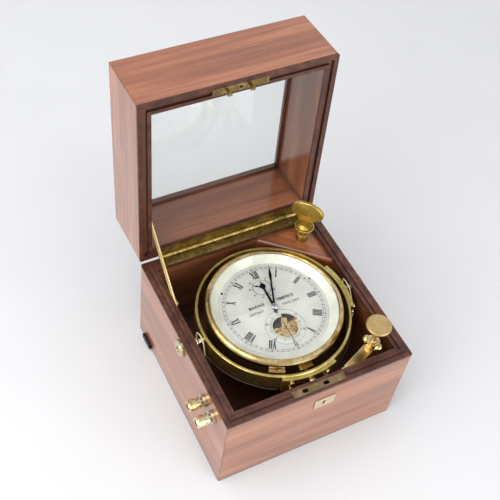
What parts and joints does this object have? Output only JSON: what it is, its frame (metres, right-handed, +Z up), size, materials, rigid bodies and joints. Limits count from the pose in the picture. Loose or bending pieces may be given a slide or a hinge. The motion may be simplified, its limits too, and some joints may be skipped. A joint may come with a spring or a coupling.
{
  "type": "marine chronometer",
  "caption": "Two-part wooden box with a glazed, hinged lid holding a brass-bowled marine timepiece hung in gimbals, with its winding key",
  "frame": {"origin": "centre of the underside of the case, on the surface that it stands on", "axes": "+Z up, front with the keyhole is -Y, lid hinge along X at the back"},
  "size_m": [0.2039, 0.2583, 0.2877],
  "materials": {
    "mahogany": "French polished mahogany",
    "lacquered_brass": "lacquered, aged brass",
    "gilt_brass": "spotted and gilt brass",
    "silvered_brass": "fine silvered brass",
    "blued_steel": "polished blued steel",
    "spring_steel": "polished steel",
    "lead_sleeve": "cotton-covered wire",
    "dark_bronze": "dark patinated bronze",
    "clear_glass": "clear plate glass"
  },
  "bodies": {
    "case": {"case_front_board": "mahogany", "case_back_board": "mahogany", "case_left_board": "mahogany", "case_right_board": "mahogany", "case_bottom_board": "mahogany", "key_block": "mahogany", "case_hinge_leaf": "lacquered_brass", "hinge_pin": "lacquered_brass", "case_screws": "lacquered_brass", "lock_body": "lacquered_brass", "keyhole_escutcheon": "lacquered_brass", "terminal_posts": "lacquered_brass", "case_pivot_screws": "lacquered_brass", "lock_bracket": "lacquered_brass", "case_leads": "lead_sleeve", "side_lug": "dark_bronze"},
    "lid": {"lid_front_board": "mahogany", "lid_back_board": "mahogany", "lid_left_board": "mahogany", "lid_right_board": "mahogany", "lid_glass": "clear_glass", "lid_glazing_beads": "mahogany", "lid_hinge_leaf": "lacquered_brass", "link_plate": "lacquered_brass", "lid_screws": "lacquered_brass"},
    "lid_stay": {"lid_stay": "lacquered_brass"},
    "lock_bolt": {"lock_bolt": "lacquered_brass"},
    "terminal_nut_front": {"terminal_nut_front": "lacquered_brass"},
    "terminal_nut_rear": {"terminal_nut_rear": "lacquered_brass"},
    "gimbal_lock": {"gimbal_lock_lever": "lacquered_brass"},
    "key_pipe": {"key_pipe": "lacquered_brass"},
    "key_head": {"key_head": "lacquered_brass"},
    "gimbal_ring": {"gimbal_ring": "lacquered_brass", "ring_plates": "lacquered_brass", "ring_screws": "lacquered_brass", "ring_leads": "lead_sleeve"},
    "bowl": {"bowl_shell": "lacquered_brass", "bezel": "lacquered_brass", "bezel_glass": "clear_glass", "dial_surround": "silvered_brass", "dial": "silvered_brass", "pillar_plate": "gilt_brass", "back_plate": "gilt_brass", "pillars": "gilt_brass", "balance_cock": "gilt_brass", "contact_pieces": "gilt_brass", "balance_spring": "spring_steel", "fusee_chain": "spring_steel"},
    "winding_shutter": {"winding_shutter": "lacquered_brass"},
    "centre_arbor": {"centre_wheel": "gilt_brass", "minute_hand": "blued_steel"},
    "hour_pipe": {"hour_hand": "blued_steel"},
    "third_arbor": {"third_wheel": "gilt_brass"},
    "fourth_arbor": {"fourth_wheel": "gilt_brass", "seconds_hand": "blued_steel"},
    "escape_arbor": {"escape_wheel": "gilt_brass"},
    "fusee": {"fusee": "gilt_brass"},
    "barrel": {"barrel": "gilt_brass"},
    "balance": {"balance": "gilt_brass"},
    "reserve_hand": {"reserve_hand": "blued_steel"}
  },
  "joints": [
    {"name": "lid_hinge", "type": "hinge", "parent": "case", "child": "lid", "pos_m": [0, 0.093, 0.103], "axis": [1, 0, 0], "range_deg": [0, 93.3]},
    {"name": "lid_stay_pivot", "type": "hinge", "parent": "lid", "child": "lid_stay", "pos_m": [-0.079, 0.10816, 0.14995], "axis": [1, 0, 0], "range_deg": [-46.65, 0]},
    {"name": "lock_bolt_slide", "type": "slide", "parent": "case", "child": "lock_bolt", "axis": [1, 0, 0], "range_m": [0, 0.004]},
    {"name": "terminal_nut_front_turn", "type": "hinge", "parent": "case", "child": "terminal_nut_front", "pos_m": [-0.1, -0.068, 0.0825], "axis": [1, 0, 0], "continuous": true},
    {"name": "terminal_nut_rear_turn", "type": "hinge", "parent": "case", "child": "terminal_nut_rear", "pos_m": [-0.1, -0.051, 0.0825], "axis": [1, 0, 0], "continuous": true},
    {"name": "gimbal_lock_turn", "type": "hinge", "parent": "case", "child": "gimbal_lock", "pos_m": [0.0654, -0.0666, 0.1], "axis": [0, 0, 1], "range_deg": [-68, 0]},
    {"name": "key_lift", "type": "slide", "parent": "case", "child": "key_pipe", "axis": [0, 0, -1], "range_m": [-0.045, 0]},
    {"name": "key_turn", "type": "hinge", "parent": "key_pipe", "child": "key_head", "pos_m": [0.0666, 0.0668, 0.11], "axis": [0, 0, 1], "continuous": true},
    {"name": "ring_tilt", "type": "hinge", "parent": "case", "child": "gimbal_ring", "pos_m": [0, 0, 0.0925], "axis": [1, 0, 0], "range_deg": [-35, 35], "deforming": ["case_leads"]},
    {"name": "bowl_tilt", "type": "hinge", "parent": "gimbal_ring", "child": "bowl", "pos_m": [0, 0, 0.0925], "axis": [0, 1, 0], "range_deg": [-35, 180], "deforming": ["ring_leads"]},
    {"name": "winding_shutter_turn", "type": "hinge", "parent": "bowl", "child": "winding_shutter", "pos_m": [-0.02645, 0.00864, 0.044], "axis": [0, 0, 1], "range_deg": [0, 60]},
    {"name": "centre_arbor_turn", "type": "hinge", "parent": "bowl", "child": "centre_arbor", "pos_m": [0, 0, 0.08], "axis": [0, 0, 1], "continuous": true},
    {"name": "hour_pipe_turn", "type": "hinge", "parent": "bowl", "child": "hour_pipe", "pos_m": [0, 0, 0.104], "axis": [0, 0, 1], "continuous": true},
    {"name": "third_arbor_turn", "type": "hinge", "parent": "bowl", "child": "third_arbor", "pos_m": [0.01845, -0.01365, 0.08], "axis": [0, 0, 1], "continuous": true},
    {"name": "fourth_arbor_turn", "type": "hinge", "parent": "bowl", "child": "fourth_arbor", "pos_m": [0, -0.022, 0.08], "axis": [0, 0, 1], "continuous": true},
    {"name": "escape_arbor_turn", "type": "hinge", "parent": "bowl", "child": "escape_arbor", "pos_m": [-0.01739, -0.02666, 0.08], "axis": [0, 0, 1], "continuous": true},
    {"name": "fusee_turn", "type": "hinge", "parent": "bowl", "child": "fusee", "pos_m": [-0.01445, 0.02064, 0.08], "axis": [0, 0, 1], "continuous": true},
    {"name": "barrel_turn", "type": "hinge", "parent": "bowl", "child": "barrel", "pos_m": [0.026, 0.015, 0.08], "axis": [0, 0, 1], "continuous": true},
    {"name": "balance_swing", "type": "hinge", "parent": "bowl", "child": "balance", "pos_m": [-0.01079, -0.01656, 0.056], "axis": [0, 0, 1], "range_deg": [-135, 135], "stiffness_Nm_per_rad": 0.0001, "deforming": ["balance_spring"]},
    {"name": "reserve_hand_turn", "type": "hinge", "parent": "bowl", "child": "reserve_hand", "pos_m": [0, 0.025, 0.104], "axis": [0, 0, 1], "range_deg": [-15, 255]}
  ],
  "couplings": [
    {"joint": "lid_stay_pivot", "follows": "lid_hinge", "ratio": -0.5},
    {"joint": "hour_pipe_turn", "follows": "centre_arbor_turn", "ratio": 0.083333},
    {"joint": "third_arbor_turn", "follows": "centre_arbor_turn", "ratio": -7.5},
    {"joint": "fourth_arbor_turn", "follows": "centre_arbor_turn", "ratio": 60},
    {"joint": "escape_arbor_turn", "follows": "centre_arbor_turn", "ratio": -480},
    {"joint": "fusee_turn", "follows": "centre_arbor_turn", "ratio": -0.14286},
    {"joint": "barrel_turn", "follows": "centre_arbor_turn", "ratio": -0.10671}
  ]
}
